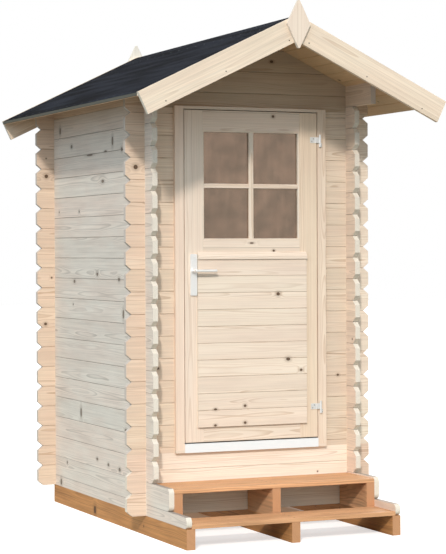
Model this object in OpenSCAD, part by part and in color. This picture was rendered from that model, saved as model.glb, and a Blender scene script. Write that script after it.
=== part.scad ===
// Small log cabin shed with a gabled felt roof, a half-glazed door and two front steps.
// Origin: ground level, in line with the outer face of the front wall, midway between the
// side walls. +X right, +Y to the back, +Z up.

/* [Log walls] */
// Width of the cabin over the outer faces of its side walls
cabin_w = 1175; // [1000:10:1600]
// Depth of the cabin over the outer faces of its front and back walls
cabin_d = 1475; // [1200:10:2200]
// Thickness of a wall log
log_t = 28; // [22:1:45]
// Height of one log from joint to joint
log_h = 114; // [95:1:140]
// Full logs in the front and back walls up to the eaves
log_rows = 18; // [17:1:20]
// Length of a log end past the wall that it crosses
log_end = 105; // [80:5:150]
// Length of the chamfer on a log end
end_cut_l = 30; // [10:1:45]
// Height of the chamfer on a log end
end_cut_h = 25; // [8:1:28]
// Depth of the vee groove along each log joint
joint_vee = 2.5; // [1:0.5:5]

/* [Ground frame and steps] */
// Width of a ground joist
joist_w = 45; // [38:1:70]
// Height of a ground joist
joist_h = 101; // [70:5:145]
// How far the lower step reaches in front of the wall
lower_step_out = 540; // [480:10:700]
// How far the upper step reaches in front of the wall
upper_step_out = 312; // [250:2:360]
// Thickness of a step board
tread_t = 21; // [18:1:40]
// How far the upper step lies under the top of the logs beside it
upper_drop = 7; // [0:1:30]
// Gap between step boards
tread_gap = 4; // [2:1:10]
// Boards in the lower step
lower_boards = 2; // [1:1:3]
// Boards in the upper step
upper_boards = 3; // [2:1:4]
// Radius on the front ends of the logs beside the steps
step_log_r = 26; // [5:1:28]

/* [Floor] */
// Height of the floor's top over the lower edge of the doorway
floor_rise = 28; // [10:1:36]
// Thickness of the floor boards
floor_t = 18; // [15:1:28]
// Height of a floor bearer
bearer_h = 70; // [45:5:120]
// Number of floor bearers
bearers = 4; // [2:1:6]

/* [Roof] */
// Roof pitch in degrees
pitch = 25.7; // [20:0.1:32]
// Height of an eaves log at its outer face, under the roof boards
eaves_log_h = 98; // [60:1:112]
// Overhang of the roof past the side walls, measured level
eaves_out = 254; // [200:1:400]
// Overhang of the roof in front of the wall
front_overhang = 575; // [300:5:700]
// Overhang of the roof behind the wall
rear_overhang = 165; // [120:5:400]
// Thickness of the roof boards
roof_board_t = 16; // [14:1:22]
// Thickness of the roofing felt
felt_t = 3; // [2:1:5]
// Thickness of a barge board
barge_t = 22; // [16:1:28]
// Width of a barge board
barge_w = 117; // [90:1:150]
// Width of the ridge beam
ridge_w = 44; // [36:1:60]
// Height of the ridge beam
ridge_h = 95; // [70:5:145]
// Front end of the eaves logs, measured from the wall
eaves_log_out = 287; // [120:1:500]
// Height of a finial
finial_h = 236; // [160:2:300]
// Width of a finial
finial_w = 126; // [90:2:180]
// Width of a finial's blunt tips
finial_tip = 8; // [0:1:20]
// How far the middle of a finial lies under the ridge
finial_drop = 48; // [30:1:80]
// Thickness of a finial
finial_t = 18; // [12:1:28]

/* [Door frame] */
// Clear width between the door jambs
frame_in_w = 764; // [630:2:800]
// Face width of a jamb
jamb_face = 48; // [44:1:60]
// How far the frame stands proud of the wall
frame_proud = 20; // [16:1:30]
// Depth of the frame behind the face of the wall
frame_depth = 45; // [40:1:60]
// Width of the jamb inside the wall opening
jamb_t = 35; // [28:1:42]
// How far the door stop reaches past the jamb
stop_w = 14; // [8:1:25]
// How far the frame laps the wall over the doorway
head_lap = 5; // [2:1:20]
// How far the frame laps the wall under the doorway
foot_lap = 2; // [1:1:20]
// Height of the foot under the jambs
foot_h = 16; // [10:1:24]
// Height of the sill over the lower edge of the doorway, with its metal strip
sill_rise = 44; // [38:1:60]
// Thickness of the head between the jambs under the log
head_web = 10; // [6:1:20]
// How far the doorway is cut up into the log over it
head_notch = 6; // [0:1:20]

/* [Door leaf] */
// Gap round the leaf
door_gap = 6.5; // [6:0.5:8]
// Thickness of the leaf
leaf_t = 40; // [36:1:44]
// Width of the leaf beside the window
window_stile = 107.5; // [85:0.5:140]
// Height of the window opening
window_h = 549; // [400:1:600]
// Height of the rail over the window
top_rail = 109; // [80:1:140]
// Height of the rail between the window and the drip ledge
mid_rail = 70; // [40:1:120]
// Width of the leaf beside the boarded panel
panel_stile = 65.5; // [64:0.5:90]
// Height of the plain rail below the panel
bottom_rail = 76; // [60:1:120]
// Boards in the panel
panel_boards = 10; // [6:1:12]
// How far the panel stands proud of the leaf
panel_proud = 12; // [8:1:16]
// Height of the drip ledge over the panel
ledge_h = 37; // [25:1:50]
// How far the drip ledge stands proud of the leaf
ledge_proud = 20; // [14:1:26]
// Depth of the flat on top of the drip ledge
ledge_flat = 7; // [2:1:12]
// Height of the drip ledge's front edge
ledge_lip_h = 16.5; // [8:0.5:24]
// Thickness of the glass
glass_t = 4; // [3:1:8]

/* [Ironmongery] */
// Diameter of a hinge barrel
barrel_d = 12; // [10:1:16]
// Diameter of a hinge pin
pin_d = 7; // [5:0.5:8]
// Clearance between a pin and its bore
pin_clearance = 0.25; // [0.2:0.05:0.5]
// Height of a hinge barrel
hinge_h = 64; // [50:2:100]
// Height of the part of a hinge barrel on the frame
hinge_foot_h = 20; // [12:1:25]
// Height of a hinge leaf on the door
hinge_leaf_h = 30; // [20:1:40]
// Width of a hinge leaf
hinge_leaf_w = 36; // [25:1:45]
// Thickness of a hinge leaf
hinge_leaf_t = 2.5; // [2:0.5:4]
// How far the hinge pin lies outside the jamb's inner edge
pin_off = 12; // [6:1:16]
// Height of the lower hinge over the foot of the leaf
low_hinge_up = 126; // [80:1:200]
// Depth of the upper hinge's foot under the top of the leaf
top_hinge_down = 175; // [120:1:300]
// Height of the handle plate
plate_h = 213; // [160:1:240]
// Width of the handle plate
plate_w = 37; // [30:1:40]
// Thickness of the handle plate
plate_t = 8; // [5:1:10]
// Length of the lever from its spindle
lever_l = 116; // [90:1:130]
// Diameter of the lever
lever_d = 16; // [12:1:20]
// How far the lever stands off the leaf
lever_off = 46; // [40:1:60]
// How far the spindle lies in from the edge of the leaf
spindle_in = 44.5; // [40:0.5:46]
// How far the spindle lies under the drip ledge
spindle_down = 59; // [40:1:120]
// Height of the spindle over the foot of the handle plate
plate_foot = 127; // [90:1:140]
// Radius of the handle plate's corners
plate_r = 6; // [2:1:15]

/* [Hidden] */

spruce = "#ecd9b8";
treated = "#c48c5f";
felt_grey = "#2b2e38";
steel = "#d9dade";

half_w = cabin_w / 2;
sill_z = joist_h;
half_log = log_h / 2;
quarter = log_h / 4;
eaves_z = sill_z + log_rows * log_h;
big = 4000;
eps = 0.01;

// Roof: the underside of the boards at a distance from the ridge line
roof_stack = (roof_board_t + felt_t) / cos(pitch);
under_ridge_z = eaves_z + half_log + eaves_log_h + half_w * tan(pitch);
ridge_z = under_ridge_z + roof_stack;
roof_half_w = half_w + eaves_out;
roof_y0 = -front_overhang;
roof_y1 = cabin_d + rear_overhang;
function under_z(x) = under_ridge_z - abs(x) * tan(pitch);

// Doorway in the front wall
doorway_z0 = sill_z + 3 * log_h - quarter;
wall_seam_z = eaves_z + quarter;
doorway_z1 = wall_seam_z + head_notch;
doorway_half = frame_in_w / 2 + jamb_t;
frame_half = frame_in_w / 2 + jamb_face;
frame_z0 = doorway_z0 - foot_lap;
frame_z1 = doorway_z1 + head_lap;
floor_z = doorway_z0 + floor_rise;
sill_top = doorway_z0 + sill_rise;
strip_t = 2.5;
strip_play = 1;

// Door leaf
leaf_half = frame_in_w / 2 - door_gap;
leaf_z0 = sill_top + door_gap;
leaf_z1 = doorway_z1 - head_web - door_gap;
leaf_y0 = -frame_proud;
leaf_y1 = leaf_y0 + leaf_t;
stop_gap = 5.5;
stop_y = leaf_y1 + stop_gap;
window_w = 2 * (leaf_half - window_stile);
window_z1 = leaf_z1 - top_rail;
window_z0 = window_z1 - window_h;
panel_half = leaf_half - panel_stile;
panel_z0 = leaf_z0 + bottom_rail;
panel_z1 = window_z0 - mid_rail - ledge_h;
panel_h = panel_z1 - panel_z0;

// Hinges and handle
barrel_gap = 0.5;
pin_x = frame_in_w / 2 + pin_off;
pin_y = -frame_proud - barrel_d / 2 - barrel_gap;
hinge_zs = [leaf_z0 + low_hinge_up, leaf_z1 - top_hinge_down];
spindle_x = -leaf_half + spindle_in;
spindle_z = panel_z1 - spindle_down;
plate_z0 = spindle_z - plate_foot;
neck_d = 18;
knuckle_cap = 4;
knuckle_gap = 0.5;
pin_end_gap = 2;
jamb_leaf_w = 14;
neck_clearance = 0.5;

// Steps
step_log_half = half_w - log_t;
upper_top = sill_z + half_log + log_h - upper_drop;
upper_under = upper_top - tread_t;

// ---------- Logs ----------

// Outline of one log end column in the plane of its wall, to the left of u = 0:
// the logs lie at z0 + i * log_h, and each end has a chamfer over and under its tip.
module end_tips(reach, z0, rows) {
    for (i = [0 : rows - 1])
        translate([0, z0 + i * log_h])
            polygon([[0, 0], [0, log_h],
                [-reach + end_cut_l, log_h], [-reach, log_h - end_cut_h],
                [-reach, end_cut_h], [-reach + end_cut_l, 0]]);
}

// Cross section of a stack of logs, with a vee along every joint on both faces
module log_section(z0, z1, first_joint) {
    difference() {
        translate([0, z0]) square([log_t, z1 - z0]);
        for (z = [first_joint : log_h : z1 + eps])
            for (face = [0, log_t])
                translate([face, z]) rotate(45) square(joint_vee * sqrt(2), center = true);
    }
}

// Holes where the crossing wall's logs pass through, along one corner at u0
module crossing_holes(u0, first_hole) {
    for (i = [0 : log_rows + 3])
        translate([u0, first_hole + i * log_h]) square([log_t, half_log]);
}

// Outline of a gable wall (front or back) seen along Y, clipped by the roof
module gable_outline() {
    difference() {
        intersection() {
            union() {
                translate([-half_w, sill_z]) square([cabin_w, big]);
                for (side = [0, 1]) mirror([side, 0])
                    translate([-half_w, 0]) end_tips(log_end, sill_z, log_rows + 2);
            }
            polygon([[-big, under_z(big)], [0, under_ridge_z], [big, under_z(big)],
                [big, -big], [-big, -big]]);
        }
        for (side = [0, 1]) mirror([side, 0]) {
            crossing_holes(-half_w, sill_z - quarter);
        }
        translate([-ridge_w / 2, under_ridge_z - ridge_h]) square([ridge_w, big]);
    }
}

// A gable wall between two heights, with its outer face at y0
module gable_wall(y0, z0, z1) {
    translate([0, y0, 0]) intersection() {
        translate([0, log_t, 0]) rotate([90, 0, 0]) linear_extrude(log_t)
            intersection() {
                gable_outline();
                translate([-big / 2, z0]) square([big, z1 - z0]);
            }
        translate([-big / 2, 0, 0]) rotate([90, 0, 90]) linear_extrude(big)
            log_section(sill_z, under_ridge_z, sill_z + log_h);
    }
}

// The front wall over the doorway, with the top of the doorway cut into its lowest log
module front_gable() {
    color(spruce) difference() {
        gable_wall(0, wall_seam_z, under_ridge_z);
        translate([-doorway_half, -1, wall_seam_z - 1])
            cube([2 * doorway_half, log_t + 2, head_notch + 1]);
    }
}

// Keeps only one side of the doorway
module beside_doorway(side) {
    intersection() {
        children();
        mirror([side < 0 ? 1 : 0, 0, 0])
            translate([doorway_half, -big / 2, 0]) cube([big, big, big]);
    }
}

// Outline of a side wall's logs seen along X, between two heights.
// Plain rows end in chamfered tips at the front and back.
module side_outline(z0, z1) {
    difference() {
        intersection() {
            union() {
                translate([0, z0]) square([cabin_d, z1 - z0]);
                end_tips(log_end, sill_z - half_log, log_rows + 2);
                translate([cabin_d, 0]) mirror([1, 0])
                    end_tips(log_end, sill_z - half_log, log_rows + 2);
            }
            translate([-big / 2, z0]) square([big, z1 - z0]);
        }
        for (y = [0, cabin_d - log_t]) crossing_holes(y, sill_z + quarter);
    }
}

// Places an outline drawn in (y, z) as a side wall: side -1 is left, 1 is right
module side_logs(side, z0, z1) {
    mirror([side > 0 ? 1 : 0, 0, 0]) translate([-half_w, 0, 0]) intersection() {
        rotate([90, 0, 90]) linear_extrude(log_t) children();
        translate([0, big / 2, 0]) rotate([90, 0, 0]) linear_extrude(big)
            log_section(z0, z1, z0 + (z1 - z0 > 1.5 * log_h ? log_h : z1 - z0));
    }
}

// Plain front end with rounded corners for the logs beside the steps
module round_front(out, z0, z1) {
    r = min(step_log_r, (z1 - z0) / 2 - eps);
    translate([-out, z0]) {
        translate([r, 0]) square([out, z1 - z0]);
        translate([0, r]) square([r + eps, z1 - z0 - 2 * r]);
        for (z = [r, z1 - z0 - r]) translate([r, z]) circle(r);
    }
}

module sill_log(side) {
    z0 = sill_z;
    z1 = sill_z + half_log;
    color(spruce) side_logs(side, z0, z1) difference() {
        union() {
            intersection() {
                union() {
                    translate([0, z0]) square([cabin_d, half_log]);
                    translate([cabin_d, 0]) mirror([1, 0])
                        end_tips(log_end, sill_z - half_log, 1);
                }
                translate([-big / 2, z0]) square([big, z1 - z0]);
            }
            round_front(lower_step_out, z0, z1);
        }
        for (y = [0, cabin_d - log_t]) crossing_holes(y, sill_z + quarter);
    }
}

module step_log(side) {
    z0 = sill_z + half_log;
    z1 = z0 + log_h;
    color(spruce) side_logs(side, z0, z1) difference() {
        union() {
            translate([0, z0]) square([cabin_d, log_h]);
            translate([cabin_d, 0]) mirror([1, 0]) end_tips(log_end, z0, 1);
            round_front(upper_step_out, z0, z1);
        }
        for (y = [0, cabin_d - log_t]) crossing_holes(y, sill_z + quarter);
    }
}

module side_wall(side) {
    z0 = sill_z + half_log + log_h;
    z1 = eaves_z + half_log;
    color(spruce) side_logs(side, z0, z1) side_outline(z0, z1);
}

// Top log of a side wall: bevelled under the roof and run out under the front overhang
module eaves_log(side) {
    z0 = eaves_z + half_log;
    z1 = z0 + eaves_log_h + log_t * tan(pitch) + joint_vee;
    color(spruce) intersection() {
        side_logs(side, z0, z1) difference() {
            translate([-eaves_log_out, z0])
                square([eaves_log_out + roof_y1 - barge_t, z1 - z0]);
            for (y = [0, cabin_d - log_t]) crossing_holes(y, sill_z + quarter);
        }
        rotate([90, 0, 0]) linear_extrude(2 * big, center = true)
            polygon([[-big, under_z(big)], [0, under_ridge_z], [big, under_z(big)]]);
    }
}

// ---------- Ground frame, floor and steps ----------

module joist(x) {
    color(treated) translate([x - joist_w / 2, -lower_step_out, 0])
        cube([joist_w, lower_step_out + cabin_d, joist_h]);
}

module floor_bearers() {
    inner_w = cabin_w - 2 * log_t;
    inner_d = cabin_d - 2 * log_t;
    pitch_y = (inner_d - joist_w) / (bearers - 1);
    color(spruce) for (i = [0 : bearers - 1])
        translate([-inner_w / 2, log_t + i * pitch_y, floor_z - floor_t - bearer_h])
            cube([inner_w, joist_w, bearer_h]);
}

module floor_boards() {
    inner_w = cabin_w - 2 * log_t;
    inner_d = cabin_d - 2 * log_t;
    color(spruce) translate([-inner_w / 2, log_t, floor_z - floor_t])
        cube([inner_w, inner_d, floor_t]);
}

// Boards side by side from y = -out back to y = -back, with a gap behind each
module step_boards(out, back, count, z) {
    board_w = (out - back - count * tread_gap) / count;
    color(treated) for (i = [0 : count - 1])
        translate([-step_log_half, -out + i * (board_w + tread_gap), z])
            cube([2 * step_log_half, board_w, tread_t]);
}

// Bearers on edge over the joists, behind the boards of the lower step
module upper_step_bearers() {
    color(treated) for (x = [-step_log_half, -joist_w / 2, step_log_half - joist_w])
        translate([x, -upper_step_out, joist_h])
            cube([joist_w, upper_step_out - tread_gap, upper_under - joist_h]);
}

// ---------- Roof ----------

// A flat layer on one slope, drawn in (x, z): t_in and t_out are measured square to the slope
module slope_layer(side, t_in, t_out, y0, y1) {
    mirror([side > 0 ? 1 : 0, 0, 0]) translate([0, y1, 0]) rotate([90, 0, 0])
        linear_extrude(y1 - y0)
            polygon([[0, under_ridge_z + t_in / cos(pitch)],
                [-roof_half_w, under_z(roof_half_w) + t_in / cos(pitch)],
                [-roof_half_w, under_z(roof_half_w) + t_out / cos(pitch)],
                [0, under_ridge_z + t_out / cos(pitch)]]);
}

module roof_boards(side) {
    color(spruce) slope_layer(side, 0, roof_board_t, roof_y0 + barge_t, roof_y1 - barge_t);
}

module roof_felt() {
    color(felt_grey) union() for (side = [-1, 1])
        slope_layer(side, roof_board_t, roof_board_t + felt_t,
            roof_y0 + barge_t, roof_y1 - barge_t);
}

// Barge board: its top edge lies along the felt and its foot is cut square to the slope
module barge(side, y0) {
    run = roof_half_w / cos(pitch);
    color(spruce) mirror([side > 0 ? 1 : 0, 0, 0]) translate([0, y0 + barge_t, 0])
        rotate([90, 0, 0]) linear_extrude(barge_t) intersection() {
            translate([0, ridge_z]) rotate(180 + pitch)
                translate([-barge_w, 0]) square([run + barge_w, barge_w]);
            translate([-big, 0]) square([big, big]);
        }
}

// Lozenge finial with blunt tips over and under
module finial(y0) {
    side_x = finial_w / 2;
    tip_x = finial_tip / 2;
    tip_z = finial_h / 2;
    color(spruce) translate([0, y0 + finial_t, ridge_z - finial_drop]) rotate([90, 0, 0])
        linear_extrude(finial_t)
            polygon([[-side_x, 0], [-tip_x, -tip_z], [tip_x, -tip_z],
                [side_x, 0], [tip_x, tip_z], [-tip_x, tip_z]]);
}

module ridge_beam() {
    color(spruce) translate([0, roof_y1 - barge_t, 0]) rotate([90, 0, 0])
        linear_extrude(roof_y1 - roof_y0 - 2 * barge_t) intersection() {
            translate([-ridge_w / 2, under_ridge_z - ridge_h]) square([ridge_w, ridge_h]);
            polygon([[-big, under_z(big)], [0, under_ridge_z], [big, under_z(big)]]);
        }
}

// ---------- Door frame ----------

// Left jamb in layers from outside to inside: face board, post in the wall, and the part
// inside the room, which stands on the floor and carries the stop
module door_jamb(side) {
    in_x = -frame_in_w / 2;
    z0 = frame_z0 + foot_h;
    color(spruce) mirror([side > 0 ? 1 : 0, 0, 0]) union() {
        translate([in_x - jamb_face, -frame_proud, z0])
            cube([jamb_face, frame_proud, frame_z1 - z0]);
        translate([-doorway_half, -eps, z0])
            cube([jamb_t, log_t + eps, doorway_z1 - z0]);
        translate([-doorway_half, log_t - eps, floor_z])
            cube([jamb_t, frame_depth - log_t + eps, doorway_z1 - floor_z]);
        translate([in_x - eps, stop_y, sill_top + stop_w])
            cube([stop_w + eps, frame_depth - stop_y,
                doorway_z1 - head_web - sill_top - stop_w]);
    }
}

// Head between the jambs' inner faces, seen in (y, z): face, web under the log, and stop
module door_head() {
    under = doorway_z1 - head_web;
    stop_half = frame_in_w / 2 - stop_w;
    color(spruce) union() {
        translate([-frame_in_w / 2, 0, 0]) rotate([90, 0, 90]) linear_extrude(frame_in_w)
            polygon([[-frame_proud, under], [frame_depth, under], [frame_depth, doorway_z1],
                [0, doorway_z1], [0, frame_z1], [-frame_proud, frame_z1]]);
        translate([-stop_half, stop_y, under - stop_w])
            cube([2 * stop_half, frame_depth - stop_y, stop_w + eps]);
    }
}

// Sill: a foot under both jambs, and the part between them with its stop
module door_sill() {
    wood_top = sill_top - strip_t;
    color(spruce) union() {
        translate([-frame_half, -frame_proud, frame_z0])
            cube([2 * frame_half, frame_proud, foot_h]);
        translate([-doorway_half, -eps, doorway_z0])
            cube([2 * doorway_half, log_t + eps, frame_z0 + foot_h - doorway_z0]);
        translate([-frame_in_w / 2, 0, 0]) rotate([90, 0, 90]) linear_extrude(frame_in_w)
            polygon([[-frame_proud, frame_z0], [0, frame_z0], [0, doorway_z0],
                [log_t, doorway_z0], [log_t, floor_z], [frame_depth, floor_z],
                [frame_depth, sill_top + stop_w], [stop_y, sill_top + stop_w],
                [stop_y, wood_top], [-frame_proud, wood_top]]);
    }
}

// White metal profile over the front of the sill
module threshold_strip() {
    color("white") translate([-frame_in_w / 2 + strip_play, 0, 0]) rotate([90, 0, 90])
        linear_extrude(frame_in_w - 2 * strip_play)
            polygon([[-frame_proud - strip_t, frame_z0], [-frame_proud, frame_z0],
                [-frame_proud, sill_top - strip_t], [leaf_y1, sill_top - strip_t],
                [leaf_y1, sill_top], [-frame_proud - strip_t, sill_top]]);
}

// ---------- Door leaf ----------

module door_leaf() {
    color(spruce) difference() {
        translate([-leaf_half, leaf_y0, leaf_z0])
            cube([2 * leaf_half, leaf_t, leaf_z1 - leaf_z0]);
        translate([-window_w / 2, leaf_y0 - 1, window_z0])
            cube([window_w, leaf_t + 2, window_h]);
        translate([spindle_x, leaf_y1 + 1, spindle_z]) rotate([90, 0, 0])
            cylinder(d = neck_d + 2 * neck_clearance, h = leaf_t + 2);
    }
}

module door_panel() {
    board = panel_h / panel_boards;
    color(spruce) translate([-panel_half, leaf_y0, 0]) rotate([90, 0, 90])
        linear_extrude(2 * panel_half) difference() {
            translate([-panel_proud, panel_z0]) square([panel_proud, panel_h]);
            for (i = [1 : panel_boards - 1])
                translate([-panel_proud, panel_z0 + i * board]) rotate(45)
                    square(joint_vee * sqrt(2), center = true);
        }
}

// Drip ledge with a sloping top
module door_ledge() {
    color(spruce) translate([-panel_half, leaf_y0, panel_z1]) rotate([90, 0, 90])
        linear_extrude(2 * panel_half)
            polygon([[0, 0], [0, ledge_h], [-ledge_flat, ledge_h],
                [-ledge_proud, ledge_lip_h], [-ledge_proud, 0]]);
}

module door_glass() {
    color([0.6, 0.6, 0.6, 0.5])
        translate([-window_w / 2, leaf_y0 + leaf_t / 2 - glass_t / 2, window_z0])
            cube([window_w, glass_t, window_h]);
}

// ---------- Hinges and handle ----------

// Frame side of both hinges: a leaf on the jamb, the lower knuckle and the pin
module hinge_pins() {
    color(steel) for (z = hinge_zs) translate([pin_x, pin_y, z]) {
        cylinder(d = barrel_d, h = hinge_foot_h);
        cylinder(d = pin_d, h = hinge_h - knuckle_cap - pin_end_gap);
        translate([0, -pin_y - frame_proud - hinge_leaf_t, 0])
            cube([jamb_leaf_w, hinge_leaf_t, hinge_foot_h]);
    }
}

// Door side of both hinges: a leaf on the door, cranked out to the upper knuckle,
// which is bored for the pin
module hinge_leaves() {
    knuckle_h = hinge_h - hinge_foot_h - knuckle_gap;
    crank_x = -pin_x + leaf_half - 1;
    face_y = leaf_y0 - pin_y;
    color(steel) for (z = hinge_zs) translate([pin_x, pin_y, z + hinge_foot_h + knuckle_gap])
        difference() {
            union() {
                cylinder(d = barrel_d, h = knuckle_h);
                translate([crank_x - hinge_leaf_w, face_y - hinge_leaf_t, 0])
                    cube([hinge_leaf_w, hinge_leaf_t, hinge_leaf_h]);
                translate([crank_x - hinge_leaf_t, -hinge_leaf_t / 2, 0])
                    cube([hinge_leaf_t, face_y + hinge_leaf_t / 2, hinge_leaf_h]);
                translate([crank_x - hinge_leaf_t, -hinge_leaf_t / 2, 0])
                    cube([hinge_leaf_t - crank_x, hinge_leaf_t, hinge_leaf_h]);
            }
            translate([0, 0, -1])
                cylinder(d = pin_d + 2 * pin_clearance, h = knuckle_h - knuckle_cap + 1);
        }
}

// Upright rectangle with rounded corners, drawn in (x, z)
module plate_outline() {
    inner_w = plate_w - 2 * plate_r;
    inner_h = plate_h - 2 * plate_r;
    translate([-plate_w / 2, plate_r]) square([plate_w, inner_h]);
    translate([-inner_w / 2, 0]) square([inner_w, plate_h]);
    for (x = [-inner_w / 2, inner_w / 2], z = [plate_r, plate_r + inner_h])
        translate([x, z]) circle(plate_r);
}

module handle_plates() {
    color(steel) for (y = [leaf_y0 - plate_t, leaf_y1]) difference() {
        translate([spindle_x, y + plate_t, plate_z0]) rotate([90, 0, 0])
            linear_extrude(plate_t) plate_outline();
        translate([spindle_x, y + plate_t + 1, spindle_z]) rotate([90, 0, 0])
            cylinder(d = neck_d + 2 * neck_clearance, h = plate_t + 2);
    }
}

// Both levers on one spindle through the leaf
module door_lever() {
    y_out = leaf_y0 - lever_off;
    y_in = leaf_y1 + lever_off;
    color(steel) union() {
        translate([spindle_x, y_in, spindle_z]) rotate([90, 0, 0])
            cylinder(d = neck_d, h = y_in - y_out);
        for (y = [y_out, y_in]) translate([spindle_x, y, spindle_z]) {
            sphere(d = neck_d);
            rotate([0, 90, 0]) cylinder(d = lever_d, h = lever_l - lever_d / 2);
            translate([lever_l - lever_d / 2, 0, 0]) sphere(d = lever_d);
        }
    }
}

joist(-half_w + joist_w / 2);  // joist_left
joist(0);  // joist_middle
joist(half_w - joist_w / 2);  // joist_right
floor_bearers();
floor_boards();
sill_log(-1);  // left_sill_log
sill_log(1);  // right_sill_log
step_log(-1);  // left_step_log
step_log(1);  // right_step_log
side_wall(-1);  // left_wall
side_wall(1);  // right_wall
eaves_log(-1);  // left_eaves_log
eaves_log(1);  // right_eaves_log
color(spruce) gable_wall(0, sill_z, doorway_z0);  // front_wall_base
color(spruce) beside_doorway(-1) gable_wall(0, doorway_z0, wall_seam_z);  // front_wall_left
color(spruce) beside_doorway(1) gable_wall(0, doorway_z0, wall_seam_z);  // front_wall_right
front_gable();
color(spruce) gable_wall(cabin_d - log_t, sill_z, under_ridge_z);  // back_wall
ridge_beam();
roof_boards(-1);  // roof_boards_left
roof_boards(1);  // roof_boards_right
roof_felt();
barge(-1, roof_y0);  // barge_front_left
barge(1, roof_y0);  // barge_front_right
barge(-1, roof_y1 - barge_t);  // barge_rear_left
barge(1, roof_y1 - barge_t);  // barge_rear_right
finial(roof_y0 - finial_t);  // finial_front
finial(roof_y1);  // finial_rear
door_jamb(-1);  // door_jamb_left
door_jamb(1);  // door_jamb_right
door_head();
door_sill();
threshold_strip();
step_boards(lower_step_out, upper_step_out, lower_boards, sill_z);  // lower_step
step_boards(upper_step_out, 0, upper_boards, upper_under);  // upper_step
upper_step_bearers();
hinge_pins();
hinge_leaves();
door_leaf();
door_panel();
door_ledge();
door_glass();
handle_plates();
door_lever();
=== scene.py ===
"""Looks of a small log cabin shed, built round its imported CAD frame.

The walls, joists, frame and fittings are the CAD's own solids, with finishes that follow their
grain. The steps, roof boards, felt, floor, door leaf and glazing bars are made here in more
detail, and so are the screws and nails. Everything is in metres: +X right, +Y to the back, +Z up.
"""

import math

import bmesh
import bpy
import numpy as np
from bpy.props import FloatProperty, FloatVectorProperty, IntProperty, PointerProperty
from bpy.types import Operator, Panel, PropertyGroup
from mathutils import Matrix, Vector


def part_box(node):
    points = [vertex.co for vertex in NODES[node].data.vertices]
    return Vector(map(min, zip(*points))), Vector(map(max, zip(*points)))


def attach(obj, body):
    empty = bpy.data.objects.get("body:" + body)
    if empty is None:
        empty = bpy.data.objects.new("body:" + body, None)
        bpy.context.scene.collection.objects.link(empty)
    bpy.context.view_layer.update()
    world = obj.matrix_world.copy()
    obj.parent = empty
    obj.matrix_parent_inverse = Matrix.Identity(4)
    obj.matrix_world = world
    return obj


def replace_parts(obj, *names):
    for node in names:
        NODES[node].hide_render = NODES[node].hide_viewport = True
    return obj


bl_info = {
    "name": "Log Cabin Shed",
    "version": (1, 0, 0),
    "blender": (4, 5, 0),
    "location": "3D View > Sidebar > Shed",
    "description": "Finishes, joinery and fixings of a small log cabin shed",
    "category": "Object",
}

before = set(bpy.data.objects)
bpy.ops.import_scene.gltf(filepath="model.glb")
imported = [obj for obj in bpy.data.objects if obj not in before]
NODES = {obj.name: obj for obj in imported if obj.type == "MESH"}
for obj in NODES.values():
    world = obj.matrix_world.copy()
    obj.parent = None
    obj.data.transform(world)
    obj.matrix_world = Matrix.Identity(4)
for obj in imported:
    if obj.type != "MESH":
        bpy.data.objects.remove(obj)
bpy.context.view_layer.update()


# ---------- Places taken from the frame ----------


def middle(node):
    """The middle of a CAD node's box."""
    low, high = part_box(node)
    return (low + high) / 2


def span(node):
    """The size of a CAD node's box along each axis."""
    low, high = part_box(node)
    return high - low


def roof_pitch(board):
    """Pitch of the roof: the boards' box is the rise plus their plumb thickness, over the run."""
    low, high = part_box("roof_boards_left")
    angle = 0.4
    for _ in range(12):
        angle = math.atan((high.z - low.z - board / math.cos(angle)) / -low.x)
    return angle


def tread_pitch(node, count):
    """From one board of a step to the next."""
    low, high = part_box(node)
    return (high.y - low.y + TREAD_GAP) / count


ROOF_BOARD = 0.016
BARGE_WIDTH = 0.117
TREAD_GAP = 0.004
LOG_CORNER = 0.588  # from the middle to just past the wall's corner, where a log's end starts
LEAF_GROWTH = 0.002  # how far the visible door leaf reaches past its solid, at the sides and top
HEM_THICK = 0.002  # felt turned down at the eaves, which the roof boards stop short by
SPINDLE_IN = 0.009  # from the lever's left edge to its spindle
SPINDLE_BORE = 0.0195
PITCH = roof_pitch(ROOF_BOARD)
LOG_H = span("left_step_log").z
SIDE_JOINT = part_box("left_step_log")[0].z - LOG_H
FRONT_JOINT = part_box("front_wall_base")[0].z
RIDGE_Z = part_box("roof_felt")[1].z
SPINDLE = (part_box("door_lever")[0].x + SPINDLE_IN, middle("door_lever").z)
STEPS = (("lower_step", 2, 12.0), ("upper_step", 3, 17.0))
PLAIN = (1.0, 1.0, 1.0)
ON_DOOR, ON_SHED = ("door", "spruce"), ("shed", "spruce")  # the body and slot of a wooden piece
AXES = "xyz"


# ---------- What a user may change ----------


def colour(name, default, note):
    return FloatVectorProperty(
        name=name, subtype="COLOR", size=3, min=0, max=1, default=default, description=note
    )


def length(name, default, note, low=0.0, high=1.0):
    return FloatProperty(
        name=name, subtype="DISTANCE", unit="LENGTH", default=default, min=low, max=high,
        precision=4, description=note
    )


def amount(name, default, note, low=0, high=2000, unit="NONE"):
    return FloatProperty(name=name, default=default, min=low, max=high, unit=unit, description=note)


class ShedTimber(PropertyGroup):
    spruce_end: colour("Spruce ends", (0.8, 0.72, 0.61), "End grain of the spruce")
    log_end: colour("Log ends", (0.615, 0.551, 0.494), "Cut ends of the front and back logs")
    treated_end: colour("Treated ends", (0.555, 0.285, 0.145), "End grain of the treated pine")
    knot: colour("Knot", (0.1, 0.05, 0.024), "Middle of a knot")
    ring: length("Ring spacing", 0.0031, "Usual distance between two growth rings", 0.001, 0.02)


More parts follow.
